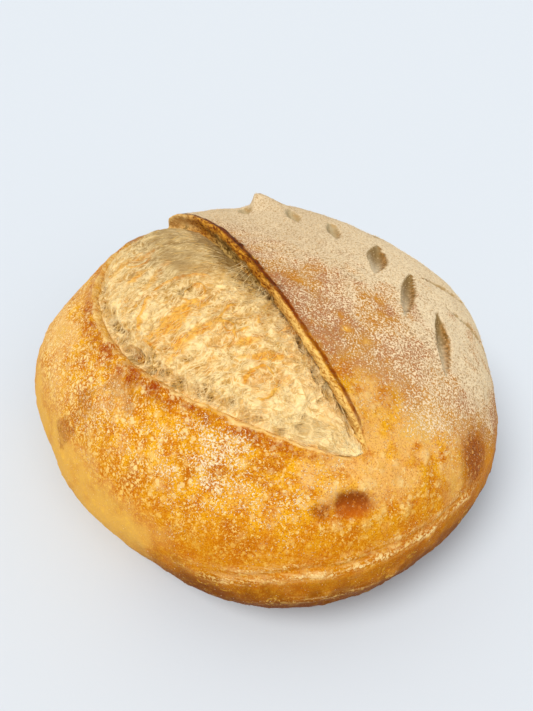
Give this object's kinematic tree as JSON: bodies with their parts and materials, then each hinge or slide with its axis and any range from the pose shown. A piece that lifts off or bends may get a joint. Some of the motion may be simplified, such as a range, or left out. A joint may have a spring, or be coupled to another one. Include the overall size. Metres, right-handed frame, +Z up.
{
  "type": "sourdough loaf",
  "caption": "Round sourdough loaf with a domed crust, one long slash opened on the crumb under a lifted ear, and two rows of short leaf cuts",
  "frame": {"origin": "middle of the bounding box at the base, on the table", "axes": "+Z up, +Y to the back of the loaf, +X to its right as the picture shows it"},
  "size_m": [0.2334, 0.2206, 0.1119],
  "materials": {
    "crust": "matte, floured baked crust"
  },
  "bodies": {
    "root": {"loaf": "crust"}
  },
  "joints": []
}
